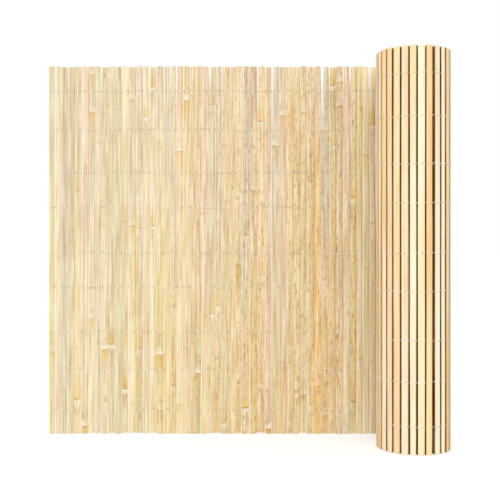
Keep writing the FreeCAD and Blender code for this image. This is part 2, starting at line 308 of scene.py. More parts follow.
TURN_PLACE = (0.2, 0.8)  # share of the height about which a strip turns from one tint to another
TURN_REACH = (0.15, 0.6)  # and over which it does


def drawn_tints(tints, pull, share, rng, spread):
    """Each strip's colour from foot to head (strip, ring, rgb).

    Two mixtures of the tints are drawn for a strip, and a smooth step at a drawn height leads from the one to
    the other.
    """
    count = len(share)
    foot, head = mixed_tints(tints, pull, spread, (2, count), rng)
    middle = rng.uniform(*TURN_PLACE, (count, 1))
    reach = rng.uniform(*TURN_REACH, (count, 1))
    step = np.clip((share - middle) / reach + 0.5, 0, 1)
    step = (step * step * (3 - 2 * step))[:, :, None]
    return foot[:, None, :] * (1 - step) + head[:, None, :] * step


TINT_SPREAD = 0.28  # of the gamma draw: small, so that one or two tints rule a strip
TWO_TONE = 0.4  # how much of a strip's second tint shows at its right side
SIDE_START = (0.58, 0.84)  # where a side's own tint sets in, as a share of half the width
SIDE_POINT = RIND_ACROSS[0]  # and where it is full


def face_colours(tints, pull, share, rng, side_tints, side_draw):
    """Colours of one face round the cross-section (strip, ring, around, rgb).

    Two drawn tints shade into each other across a strip. Towards each side a mixture of the strip's two side
    tints comes in by a beta draw, in a straight ramp from a drawn place on the face.
    """
    left = drawn_tints(tints, pull, share, rng, TINT_SPREAD)[:, :, None]
    right = drawn_tints(tints, pull, share, rng, TINT_SPREAD)[:, :, None]
    step = TWO_TONE * (ACROSS[:, None] + 1) / 2
    inner = rng.uniform(*SIDE_START, (len(share), 2))[:, SIDE]
    drawn = rng.beta(*side_draw, (len(share), 2))[:, SIDE]
    kind = rng.random((len(share), 2))[:, None, SIDE, None]
    ramp = np.clip((np.abs(ACROSS) - inner) / (SIDE_POINT - inner), 0, 1) * drawn
    ramp = ramp[:, None, :, None]
    first, second = side_tints[..., None, None, :] * np.ones((len(share), 1, 1, 1))
    side_colour = first * (1 - kind) + second * kind
    return (left * (1 - step) + right * step) * (1 - ramp) + side_colour * ramp


FRESH_BUD = 0.3  # how strong a bud's scar is on a fresh strip, as a share of its strength on an aged one


def strip_attributes(strips, share, rind, pith, edge, sawn, age):
    """What the bamboo shader reads: tint, grain, rind share, age, saw cut and the nearest node.

    The grain's place is the way round the cross-section from the middle of the pith, the height up the strip
    and the strip's own seed.
    """
    shape = (*share.shape, len(ACROSS))
    tint = np.ones((*shape, 4))
    tint[..., :3] = np.where(ON_RIND[:, None], rind, pith)
    tint[..., :3] = np.where(ON_EDGE[:, None], edge[:, None, SIDE], tint[..., :3])
    tint[:, [0, -1], :, :3] = sawn
    half = strips["width"][:, None, None] / 2
    thick = strips["thick"][:, None, None]
    grain = np.empty((*shape, 3))
    grain[..., 0] = np.select(
        [ON_PITH, ON_RIND, ACROSS > 0],
        [ACROSS * half, (2 - ACROSS) * half + thick, half + RISE * thick], 3 * half + (2 - RISE) * thick)
    grain[..., 1] = (share * strips["length"][:, None])[:, :, None]
    grain[..., 2] = strips["seed"][:, None, None]
    gap = above_nodes(strips, share)
    nearest = np.abs(gap).argmin(axis=2)[..., None]
    gap = np.take_along_axis(gap, nearest, axis=2)
    marks = np.stack([strips["node_mark"], strips["bud_mark"]])[:, :, None]
    marks = np.broadcast_to(marks, (2, *share.shape, 3))
    node_mark, bud_mark = np.take_along_axis(marks, nearest[None], axis=3)
    bud = np.empty((*shape, 3))
    bud[..., 0] = (ACROSS - strips["bud_side"][:, None, None]) * half
    bud[..., 1] = gap
    bud[..., 2] = bud_mark * (FRESH_BUD + (1 - FRESH_BUD) * age[:, None, None])
    saw = np.zeros(shape)
    saw[:, [0, -1]] = 1
    return {
        "tint": ("FLOAT_COLOR", "color", tint),
        "grain": ("FLOAT_VECTOR", "vector", grain),
        "rind": ("FLOAT", "value", np.broadcast_to(RISE, shape)),
        "age": ("FLOAT", "value", np.broadcast_to(age[:, None, None], shape)),
        "saw_cut": ("FLOAT", "value", saw),
        "node_gap": ("FLOAT", "value", np.broadcast_to(np.abs(gap), shape)),
        "node_side": ("FLOAT", "value", np.broadcast_to(np.sign(gap), shape)),
        "node_mark": ("FLOAT", "value", np.broadcast_to(node_mark, shape)),
        "bud": ("FLOAT_VECTOR", "vector", bud),
    }


def add_node(tree, kind, inputs=None, **settings):
    """A shader node with its settings, each input either a plain value or the socket that feeds it."""
    made = tree.nodes.new(kind)
    for key, value in settings.items():
        setattr(made, key, value)
    for key, value in (inputs or {}).items():
        if isinstance(value, bpy.types.NodeSocket):
            tree.links.new(value, made.inputs[key])
        else:
            made.inputs[key].default_value = value
    return made


def carried(tree, name, output="Fac"):
    """A value that the mesh carries in the attribute of this name."""
    return add_node(tree, "ShaderNodeAttribute", attribute_name=name).outputs[output]


def grain_noise(tree, width, length, detail, shift=0):
    """Noise drawn out along the grain: marks about this wide across a strip and this long up it."""
    moved = add_node(tree, "ShaderNodeMapping", {
        "Vector": carried(tree, "grain", "Vector"), "Scale": (1 / width, 1 / length, 1),
        "Location": (0, 0, shift)})
    noise = add_node(tree, "ShaderNodeTexNoise", {
        "Vector": moved.outputs["Vector"], "Scale": 1, "Detail": detail, "Roughness": 0.55})
    return noise.outputs["Fac"]


def ranged(tree, value, low, high, to_low=0, to_high=1):
    """A value carried from one range to another by a smooth step."""
    step = add_node(tree, "ShaderNodeMapRange", {
        "Value": value, "From Min": low, "From Max": high, "To Min": to_low, "To Max": to_high,
    }, interpolation_type="SMOOTHSTEP")
    return step.outputs["Result"]


def sums(tree, operation, first, second):
    """One step of arithmetic."""
    return add_node(tree, "ShaderNodeMath", {0: first, 1: second}, operation=operation).outputs["Value"]


def product(tree, value, *others):
    """Values multiplied with each other, from the first to the last."""
    for other in others:
        value = sums(tree, "MULTIPLY", value, other)
    return value


def strayed(tree, value, noise, reach):
    """A value that a noise moves to and fro about its place, by this reach from end to end."""
    return sums(tree, "ADD", value, product(tree, sums(tree, "SUBTRACT", noise, 0.5), reach))


def opaque(*screen):
    """A colour for a shader's socket, written in screen values."""
    return (*paint(*screen), 1)


def layered(tree, colour, layers):
    """A colour with layers laid over it in turn, each given as its colour, its share and how it blends.

    A mix node takes the share at input 0 and the colours at 6 and 7, and gives a colour at output 2.
    """
    for over, share, blend in layers:
        inputs = {0: share, 6: colour, 7: over}
        colour = add_node(tree, "ShaderNodeMix", inputs, data_type="RGBA", blend_type=blend).outputs[2]
    return colour


COLOUR = "NodeSocketColor"
VALUE = "NodeSocketFloat"


def new_group(name, inputs, outputs):
    """An empty shader node group with the named sockets, and its input and output sockets."""
    tree = bpy.data.node_groups.new(name, "ShaderNodeTree")
    for label, kind in inputs.items():
        tree.interface.new_socket(label, in_out="INPUT", socket_type=kind)
    for label, kind in outputs.items():
        tree.interface.new_socket(label, in_out="OUTPUT", socket_type=kind)
    return tree, tree.nodes.new("NodeGroupInput").outputs, tree.nodes.new("NodeGroupOutput").inputs


def fibre_group():
    """Bamboo fibre: fine dark streaks, dark and pale bands, blotches and a pinker or greener turn.

    Each is a noise drawn out along the grain, carried to a share by a smooth step. The height is that of the
    streaks.
    """
    tree, given, out = new_group(
        "bamboo_fibre", {"Tint": COLOUR, "Streaks": VALUE, "Bands": VALUE, "Blotches": VALUE},
        {"Colour": COLOUR, "Height": VALUE})
    fine = grain_noise(tree, 0.55 * MM, 140 * MM, detail=3)
    light = grain_noise(tree, 2.2 * MM, 260 * MM, detail=1, shift=31)
    coarse = grain_noise(tree, 2.6 * MM, 330 * MM, detail=2, shift=7)
    warm = grain_noise(tree, 5 * MM, 220 * MM, detail=1, shift=19)
    cloud = grain_noise(tree, 5 * MM, 120 * MM, detail=2, shift=37)
    streaks, bands, blotches = given["Streaks"], given["Bands"], given["Blotches"]
    streak = (opaque(156, 126, 90), product(tree, ranged(tree, fine, 0.35, 0.75), streaks), "MULTIPLY")
    dark_band = (opaque(203, 178, 128), product(tree, ranged(tree, coarse, 0.45, 0.75), bands), "MULTIPLY")
    pale_band = (opaque(255, 244, 214), product(tree, ranged(tree, light, 0.5, 0.74), bands), "MIX")
    shade = (opaque(212, 190, 156), product(tree, ranged(tree, cloud, 0.5, 0.7), blotches), "MULTIPLY")
    bloom = (opaque(255, 245, 216), product(tree, ranged(tree, cloud, 0.5, 0.3), blotches), "MIX")
    pink = (opaque(255, 232, 226), product(tree, ranged(tree, warm, 0.5, 0.72), bands), "MULTIPLY")
    green = (opaque(236, 244, 222), product(tree, ranged(tree, warm, 0.5, 0.3), bands), "MULTIPLY")
    colour = layered(tree, given["Tint"], [streak, dark_band, pale_band, shade, bloom, pink, green])
    tree.links.new(colour, out["Colour"])
    tree.links.new(fine, out["Height"])
    return tree


def weather_group():
    """Marks of age: brown stains, specks and a few dark cracks.

    Each is a noise carried to a share by a smooth step. Specks and cracks are multiplied by a slower noise,
    so that they are thick on some stretches and absent on others.
    """
    tree, given, out = new_group("weather_marks", {"Colour": COLOUR, "Amount": VALUE}, {"Colour": COLOUR})
    amount = given["Amount"]
    stains = ranged(tree, grain_noise(tree, 3.4 * MM, 18 * MM, detail=3, shift=29), 0.5, 0.7)
    specks = ranged(tree, grain_noise(tree, 2 * MM, 4.5 * MM, detail=2, shift=11), 0.58, 0.7)
    specked_part = ranged(tree, grain_noise(tree, 30 * MM, 160 * MM, detail=1, shift=3), 0.42, 0.6)
    cracks = ranged(tree, grain_noise(tree, 1.3 * MM, 26 * MM, detail=2, shift=53), 0.58, 0.68)
    cracked_part = ranged(tree, grain_noise(tree, 40 * MM, 110 * MM, detail=1, shift=47), 0.58, 0.68)
    stain = (opaque(204, 154, 92), product(tree, stains, amount), "MULTIPLY")
    speck = (opaque(128, 84, 40), product(tree, specks, specked_part, amount), "MIX")
    crack = (opaque(104, 66, 26), product(tree, cracks, cracked_part, amount), "MIX")
    tree.links.new(layered(tree, given["Colour"], [stain, speck, crack]), out["Colour"])
    return tree


SCAR_BAND = (2.4 * MM, 0.8 * MM)  # from a node, over which its scar sets in
GOLD_REACH = 62 * MM  # how far the yellow goes over a node
WAX_REACH = 22 * MM  # and the waxy band under it
OLIVE_BAND = (70 * MM, 8 * MM)  # under a node, over which the olive specks set in
BUD_HALF_AXES = (6 * MM, 10 * MM)  # of a bud's scar, across a strip and up it


def culm_node_group():
    """A culm's node on the rind: a thin broken scar, yellow over it, pale wax and olive specks under it.

    Their edges stray by a noise. On some nodes the scar of a bud lies there, a cluster of dark and pale
    specks. It is thickest in its middle and thins out with the distance from there in units of its own half
    axes.
    """
    tree, given, out = new_group(
        "culm_node", {"Colour": COLOUR, "Amount": VALUE}, {"Colour": COLOUR, "Scar": VALUE})
    amount = given["Amount"]
    gap = carried(tree, "node_gap")
    side = carried(tree, "node_side")
    mark = carried(tree, "node_mark")
    strength = product(tree, mark, amount)
    over = product(tree, ranged(tree, side, -0.1, 0.1), strength)
    under = product(tree, ranged(tree, side, 0.1, -0.1), strength)
    away = strayed(tree, gap, grain_noise(tree, 5 * MM, 90 * MM, detail=1, shift=41), 5 * MM)
    far = strayed(tree, gap, grain_noise(tree, 2 * MM, 60 * MM, detail=1, shift=67), 40 * MM)
    broken = ranged(tree, grain_noise(tree, 2.4 * MM, 30 * MM, detail=1, shift=59), 0.38, 0.58)
    specks = ranged(tree, grain_noise(tree, 3 * MM, 12 * MM, detail=2, shift=61), 0.45, 0.68)
    scar = product(tree, ranged(tree, away, *SCAR_BAND), broken, amount)
    scar_depth = sums(tree, "ADD", product(tree, mark, 0.8), 0.04)
    gold = (opaque(250, 224, 140), product(tree, ranged(tree, far, GOLD_REACH, 0), over), "MULTIPLY")
    olive = (opaque(176, 140, 84), product(tree, ranged(tree, far, *OLIVE_BAND), under, specks), "MIX")
    wax = (opaque(252, 243, 220), product(tree, ranged(tree, far, WAX_REACH, 0), under, 0.85), "MIX")
    dark_scar = (opaque(116, 76, 36), product(tree, scar, scar_depth), "MIX")

    bud = carried(tree, "bud", "Vector")
    bud_mark = add_node(tree, "ShaderNodeSeparateXYZ", {"Vector": bud}).outputs["Z"]
    across, up = BUD_HALF_AXES
    spot = add_node(tree, "ShaderNodeMapping", {"Vector": bud, "Scale": (1 / across, 1 / up, 0)})
    spot = add_node(tree, "ShaderNodeVectorMath", {0: spot.outputs["Vector"]}, operation="LENGTH")
    near = product(tree, ranged(tree, spot.outputs["Value"], 1.25, 0.3), bud_mark, amount)
    mottle = grain_noise(tree, 3 * MM, 4.5 * MM, detail=1, shift=71)
    core = product(tree, ranged(tree, mottle, 0.52, 0.64), near)
    crumbs = product(tree, ranged(tree, mottle, 0.46, 0.34, 0, 0.6), near)
    brown_bud = (opaque(228, 190, 124), product(tree, near, 0.5), "MULTIPLY")
    pale_bud = (opaque(252, 240, 212), crumbs, "MIX")
    dark_bud = (opaque(84, 50, 16), core, "MIX")
    layers = [gold, olive, wax, dark_scar, brown_bud, pale_bud, dark_bud]
    tree.links.new(layered(tree, given["Colour"], layers), out["Colour"])
    tree.links.new(sums(tree, "MAXIMUM", scar, core), out["Scar"])
    return tree


FIBRE_BUNDLE = 0.8 * MM


def sawn_end_group():
    """A sawn end of bamboo: the brown dots of cut fibre bundles, one in each cell of a Voronoi pattern."""
    tree, given, out = new_group("sawn_end", {"Colour": COLOUR}, {"Colour": COLOUR})
    place = add_node(tree, "ShaderNodeTexCoord").outputs["Object"]
    cells = add_node(tree, "ShaderNodeTexVoronoi", {"Vector": place, "Scale": 1 / FIBRE_BUNDLE})
    dots = product(tree, ranged(tree, cells.outputs["Distance"], 0.42, 0.2), carried(tree, "saw_cut"), 0.75)
    dot = (opaque(150, 104, 56), dots, "MIX")
    tree.links.new(layered(tree, given["Colour"], [dot]), out["Colour"])
    return tree


FIBRE = fibre_group()
WEATHER = weather_group()
CULM_NODE = culm_node_group()
SAWN_END = sawn_end_group()
RIND_STEP = (0.85, 1.0)  # share of the way from pith to rind over which the rind's finish sets in
PITH_MARKS = 0.3  # how marked by age the pith is, as a share of the rind
FIBRE_RELIEF = 0.2 * MM


def new_material(name):
    """An empty material and its node tree."""
    material = bpy.data.materials.new(name)
    material.use_nodes = True
    material.node_tree.nodes.clear()
    return material, material.node_tree


def bamboo(name, streaks, bands, blotches, marks, nodes, rind_roughness, pith_roughness, gloss):
    """Split bamboo: its tint, then fibre, age marks, nodes and sawn ends.

    The rind is more marked than the pith, and from pith to rind the values change by a smooth step. The
    streaks stand out and the scars lie deep by a bump.
    """
    material, tree = new_material(name)
    rind = carried(tree, "rind")
    fibre = add_node(tree, "ShaderNodeGroup", {
        "Tint": carried(tree, "tint", "Color"), "Streaks": streaks, "Bands": bands, "Blotches": blotches,
    }, node_tree=FIBRE)
    worn = ranged(tree, rind, *RIND_STEP, PITH_MARKS * marks, marks)
    weather = add_node(tree, "ShaderNodeGroup", {
        "Colour": fibre.outputs["Colour"], "Amount": product(tree, carried(tree, "age"), worn),
    }, node_tree=WEATHER)
    ring = add_node(tree, "ShaderNodeGroup", {
        "Colour": weather.outputs["Colour"], "Amount": product(tree, ranged(tree, rind, *RIND_STEP), nodes),
    }, node_tree=CULM_NODE)
    sawn = add_node(tree, "ShaderNodeGroup", {"Colour": ring.outputs["Colour"]}, node_tree=SAWN_END)
    height = sums(tree, "SUBTRACT", fibre.outputs["Height"], ring.outputs["Scar"])
    bump = add_node(tree, "ShaderNodeBump", {"Height": height, "Strength": 0.35, "Distance": FIBRE_RELIEF})
    rough = ranged(tree, rind, *RIND_STEP, pith_roughness, rind_roughness)
    surface = add_node(tree, "ShaderNodeBsdfPrincipled", {
        "Base Color": sawn.outputs["Colour"], "Roughness": rough, "Normal": bump.outputs["Normal"],
        "Specular IOR Level": gloss})
    add_node(tree, "ShaderNodeOutputMaterial", {"Surface": surface.outputs["BSDF"]})
    return material


FLAT_NODES = sorted(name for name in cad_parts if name.startswith("slat_"))
EDGE_WAVE = 0.55 * MM  # size of the slow waves of a split edge
FREE_GAP = 3.2 * MM  # the most that is open between two strips at the free end of the flat part
ROLL_GAP = 0.9 * MM  # and beside the roll
LEAST_GAP = 0.2 * MM
GAP_DRAW = (0.8, 1.4)  # of the beta draw of a gap
FOOT_OPENING = (1.8 * MM, 1.8 * MM)  # the most that a gap widens to the feet, at the free end and by the roll
HEAD_OPENING = (2.0 * MM, 10 * MM)  # and to the heads
OPENING_DRAW = (0.9, 1.5)
OPENING_FADE = 1.5  # power of the draw of an opening, which leaves few of them wide


def lay_close(strips, rng):
    """Brings the facing edges of neighbours to a drawn gap, half from each, and lets them wave together.

    The gap left by the CAD is read at the foot and at the head. Half of what is over goes to each edge as
    swell, and half of a drawn opening draws each edge in towards the ends.
    """
    ends = np.stack([strips["foot"], strips["head"]], axis=1)
    half = strips["width"][:, None] / 2
    most = np.linspace(FREE_GAP, ROLL_GAP, len(ends) - 1)[:, None]
    gap = LEAST_GAP + most * rng.beta(*GAP_DRAW, (len(ends) - 1, 2))
    spare = (ends[1:] - half[1:] - ends[:-1] - half[:-1] - gap) / 2
    widest = np.stack([np.linspace(*FOOT_OPENING, len(gap)), np.linspace(*HEAD_OPENING, len(gap))], axis=1)
    opening = rng.beta(*OPENING_DRAW, gap.shape) ** OPENING_FADE * widest / 2
    for key, values in (("swell", spare), ("pinch", opening)):
        strips[key][1:, 0] = values
        strips[key][:-1, 1] = values
    strips["pinch_reach"][1:, 0] = strips["pinch_reach"][:-1, 1]
    strips["wave"][1:, 0] = strips["wave"][:-1, 1]
    return strips


flat_rng = np.random.default_rng(seed=11)
flat = [cad_strips(node) for node in FLAT_NODES]
flat = {key: np.concatenate([one[key] for one in flat]) for key in flat[0]}
flat = lay_close(split_by_hand(flat, EDGE_WAVE, flat_rng), flat_rng)
flat_share = stations(flat)
flat_points = strip_surface(flat, flat_share, flat_rng)

# Tints of the rind, from fresh pale strips at the free end to deeper tan and more weathered ones towards the
# roll. A pull has one number for each tint. Along the sides the wood of the split shows, cream or pinkish.
RIND_TINTS = np.array([
    paint(250, 237, 195),  # cream
    paint(216, 210, 161),  # pale green
    paint(244, 212, 192),  # pink
    paint(248, 224, 149),  # straw
    paint(250, 202, 110),  # gold
    paint(221, 194, 150),  # sand
    paint(209, 199, 177),  # grey
    paint(227, 201, 112),  # olive
])
FREE_END_PULL = np.array([2.5, 1.8, 0.03, 0.5, 0.0, 1.0, 1.6, 0.0])
ROLL_END_PULL = np.array([0.4, 0.6, 1.4, 0.9, 1.8, 1.9, 1.3, 0.8])
FOOT_TURN = np.array([0.9, 1.1, 0.6, 1.5, 1.4, 0.9, 0.6, 1.4])  # feet are yellower
HEAD_TURN = np.array([0.9, 0.9, 1.6, 0.5, 0.6, 1.3, 1.5, 0.5])  # heads are greyer and pinker
ROLL_SHADE_LIFT_PULL = np.array([40.0, 2.0, 2.0, 5.0, 0.6, 0.03, 0.2, 0.03])  # the last strips are painted paler, as a painted lift against the roll's shade on them
ROLL_SHADE_LIFT_START = 0.87  # share of the way to the roll where the last strips begin, and with them the painted lift
AGE_RISE = 1.5  # how fast the strips turn from fresh to aged along the flat part
AGE_HOLD = 0.15  # and how much later than its free end
AGE_BY_WAY = 0.45  # of a strip's age comes with its place
AGE_BY_TINT = 2.8  # and this much with how yellow it is
FRESH_TINT = 0.48  # yellowness of a strip without age
ROLL_SHADE_LIFT_AGE = 0.5  # taken off the age of the very last strip, as part of the painted lift against the roll's shade
AGE_SPREAD = 0.15
FRESH_SPLIT = np.array([paint(255, 250, 226), paint(252, 242, 222)])
AGED_SPLIT = np.array([paint(240, 218, 186), paint(204, 180, 168)])
SPLIT_DRAW = (0.7, 0.9)
SPLIT_EDGES = np.array([paint(255, 250, 226), paint(222, 208, 202), paint(222, 188, 134)])  # pale, grey, tan
FRESH_EDGE_PULL = np.array([3.0, 1.0, 0.3])
AGED_EDGE_PULL = np.array([1.2, 1.2, 1.2])
SPLIT_EDGE_SPREAD = 0.4
PITH_TINTS = np.array([
    paint(255, 251, 228),  # pale cream
    paint(255, 245, 212),  # cream
    paint(254, 232, 208),  # blush
    paint(254, 230, 166),  # straw
    paint(250, 202, 132),  # tan
])
PITH_PULL = np.array([2.2, 1.4, 0.8, 0.7, 0.7])
PITH_SIDES = np.array([paint(244, 206, 128), paint(255, 247, 220)])
PITH_DRAW = (0.8, 1.2)
FLAT_SAWN = paint(232, 206, 152)
way = np.linspace(0, 1, len(FLAT_NODES))[:, None]
aged = np.clip(AGE_RISE * way - AGE_HOLD, 0, 1)
# Painted light: the last strips beside the roll get paler tints, fresher split wood and edges, and less age,
# as a painted lift against the roll's shade on them.
roll_shade_lift = np.clip((way - ROLL_SHADE_LIFT_START) / (1 - ROLL_SHADE_LIFT_START), 0, 1)
worn = aged * (1 - roll_shade_lift)
rind_pull = (FREE_END_PULL * (1 - aged) + ROLL_END_PULL * aged) * (1 - roll_shade_lift + ROLL_SHADE_LIFT_PULL * roll_shade_lift)
rind_pull = rind_pull * np.stack([FOOT_TURN, HEAD_TURN])[:, None]
split_wood = FRESH_SPLIT[:, None] * (1 - worn) + AGED_SPLIT[:, None] * worn
flat_rind = face_colours(RIND_TINTS, rind_pull, flat_share, flat_rng, split_wood, SPLIT_DRAW)
flat_pith = face_colours(PITH_TINTS, PITH_PULL, flat_share, flat_rng, PITH_SIDES[:, None], PITH_DRAW)
yellow = 1 - (flat_rind[..., 2] / flat_rind[..., 0]).mean(axis=(1, 2))
flat_age = AGE_BY_TINT * (yellow - FRESH_TINT) + AGE_BY_WAY * aged[:, 0] - ROLL_SHADE_LIFT_AGE * roll_shade_lift[:, 0]
flat_age = np.clip(flat_age + flat_rng.normal(0, AGE_SPREAD, len(FLAT_NODES)), 0, 1)
edge_pull = (FRESH_EDGE_PULL * (1 - worn) + AGED_EDGE_PULL * worn)[:, None]
flat_edge = mixed_tints(SPLIT_EDGES, edge_pull, SPLIT_EDGE_SPREAD, (len(FLAT_NODES), 2), flat_rng)
flat_looks = strip_attributes(flat, flat_share, flat_rind, flat_pith, flat_edge, FLAT_SAWN, flat_age)
flat_bamboo = bamboo("bamboo_rind", streaks=0.24, bands=0.35, blotches=0.45, marks=0.85, nodes=1.0,
                     rind_roughness=0.42, pith_roughness=0.7, gloss=0.35)
one_strip = ring_faces(1, *flat_points.shape[1:3])
for place, node in enumerate(FLAT_NODES):
    own_looks = {key: (kind, field, values[place]) for key, (kind, field, values) in flat_looks.items()}
    piece = add_piece("bamboo_" + node, flat_points[place], *one_strip, flat_bamboo, own_looks)
    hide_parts(node)

# Slats of the roll: the same strips, wound three turns with the rind inwards, so the roll shows its pale
# smooth pith side. Between its strips the gaps open as the mat bends. Their split edges, and the pith of the
# inner turns seen through them, are painted dark brown to golden as painted shade of the gaps.
ROLL_NODES = ["roll_outer_turn", "roll_middle_turn", "roll_inner_turn"]
WOUND_WAVE = 0.22 * MM
GAP_SPREAD = (-2.4 * MM, 0.1 * MM)  # how far the two edges at a gap of the roll lie out of their places
GAP_CLOSING = 0.8 * MM  # by which the edges at a gap close up past the middle of a turn
CLOSING_WAY = (0.47, 0.58)  # shares of a turn over which they do
GAP_SHADE_TINTS = np.array([paint(66, 26, 0), paint(132, 74, 0), paint(212, 144, 6)])  # dark, brown, golden: painted shade in the roll's gaps
DARK_GAP_SHADE_PULL = np.array([1.3, 1.0, 0.7])
GOLDEN_GAP_SHADE_PULL = np.array([0.3, 1.0, 2.5])
GAP_SHADE_SPREAD = 0.35
WOUND_PITH_PULL = np.array([0.3, 0.5, 0.6, 1.4, 3.2])  # of the outer turn's first strips, which are tanner
WOUND_SIDES = np.array([paint(222, 150, 30), paint(254, 236, 184)])  # golden or pale, along a strip's sides
INNER_PITH_SHADE_TINTS = np.array([paint(60, 24, 0), paint(114, 56, 0), paint(216, 140, 8)])  # painted shade: the inner turns' pith, darker than it is, as seen in the gaps
INNER_PITH_SHADE_PULL = np.array([1.6, 1.0, 0.7])
INNER_SIDE_SHADE_TINTS = INNER_PITH_SHADE_TINTS[:2]
WOUND_SAWN = paint(236, 210, 158)
WOUND_AGE = 0.6  # the most


def open_and_shade_gaps(strips, rng):
    """Sets the facing edges of neighbours back by one draw, and returns the tints of each strip's two edges.

    Past the middle of the turn the gaps close up, in a straight ramp. The tints are painted shade of the
    gaps:
    mixtures drawn once a gap, so that its two sides are alike, which turn from the dark ones to the golden
    one by the same ramp.
    """
    count = len(strips["low"])
    closing = np.interp(np.linspace(0, 1, count + 1), CLOSING_WAY, (0, 1))[:, None]
    back = rng.uniform(*GAP_SPREAD, (count + 1, 1)) + GAP_CLOSING * closing
    strips["swell"] += np.stack([back[:-1], back[1:]], axis=1)
    pull = DARK_GAP_SHADE_PULL * (1 - closing) + GOLDEN_GAP_SHADE_PULL * closing
    tints = mixed_tints(GAP_SHADE_TINTS, pull, GAP_SHADE_SPREAD, (count + 1,), rng)
    return np.stack([tints[:-1], tints[1:]], axis=1)


roll_rng = np.random.default_rng(seed=23)
roll_bamboo = bamboo("bamboo_pith", streaks=0.16, bands=0.3, blotches=0.2, marks=1.0, nodes=0.8,
                     rind_roughness=0.45, pith_roughness=0.65, gloss=0.04)
roll = []
for node in ROLL_NODES:
    turn = split_by_hand(cad_strips(node), WOUND_WAVE, roll_rng)
    # the split edges get painted shade of the gaps
    edge = open_and_shade_gaps(turn, roll_rng)
    share = stations(turn)
    points = strip_surface(turn, share, roll_rng)
    if node == "roll_outer_turn":
        round_turn = np.linspace(0, 1, len(share))[:, None]
        pull = WOUND_PITH_PULL * (1 - round_turn) + PITH_PULL * round_turn
        tints, sides = PITH_TINTS, WOUND_SIDES
    else:
        # The inner turns are seen only through the gaps, so their pith and sides are painted dark as painted
        # shade.
        pull = INNER_PITH_SHADE_PULL
        tints, sides = INNER_PITH_SHADE_TINTS, INNER_SIDE_SHADE_TINTS
    pith = face_colours(tints, pull, share, roll_rng, sides[:, None], PITH_DRAW)
    rind = face_colours(RIND_TINTS, ROLL_END_PULL, share, roll_rng, AGED_SPLIT[:, None], SPLIT_DRAW)
    age = roll_rng.uniform(0, WOUND_AGE, len(share))
    looks = strip_attributes(turn, share, rind, pith, edge, WOUND_SAWN, age)
    piece = add_piece(node + "_slats", points, *ring_faces(*points.shape[:3]), roll_bamboo, looks)
    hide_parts(node)
    roll.append(turn)

# Binding wire: nine rows of thin galvanised wire, each doubled over the first slat. Its two strands pass on
# either side of a slat and change over by a half twist in every gap, through the whole roll, and end in a
# twisted tail.
WIRE_NODES = sorted(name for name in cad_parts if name.startswith("wire_row_"))
WIRE_RADIUS = (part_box(WIRE_NODES[0])[1].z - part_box(WIRE_NODES[0])[0].z) / 2
WIRE_SEAT = 0.05 * MM  # between a strand and the slat that it binds
mat = {key: np.concatenate([flat[key], *[turn[key] for turn in roll]]) for key in flat}


def on_mat(strips, run, depth, height):
    """Points at a run along each strip's own direction, a depth from its pith face and its own height."""
    along = run[..., None] * strips["along"][:, None, :]
    back = (strips["pith"][:, None] - depth)[..., None] * strips["outward"][:, None, :]
    return along + back + height[:, None, None] * UP


ROW_WAVE = 0.9 * MM  # slow waves of a row's height
ROW_WAVES = np.array([0.23, 0.61])  # radians from slat to slat
ROW_SPREAD = 0.3 * MM  # a slat's own share of a row's unevenness


def row_height(level, count, rng):
    """A row's height at each slat: its level, two slow sine waves along the mat and a small draw."""
    waves = np.sin(ROW_WAVES * np.arange(count)[:, None] + rng.uniform(0, 2 * np.pi, 2)).sum(axis=1)
    return level + ROW_WAVE * waves + rng.normal(0, ROW_SPREAD, count)


FACE_STOPS = np.array([-0.86, -0.45, 0, 0.45, 0.86])  # shares of half the width at which a strand is bent
TWIST_STOPS = np.array([0.25, 0.5, 0.75])  # and of a gap
TWIST_REACH = 1.9 * MM  # how far the strands pass above and below each other in a gap
TAIL_STOPS = np.linspace(0.05, 1, 18)
TAIL_LENGTH = 14 * MM
TAIL_TURNS = 2
TAIL_CLOSING = 3  # the strands have come together at the tail's length over this
TAIL_BEND = np.radians(40)  # the tail is pressed in towards the hollow of the roll


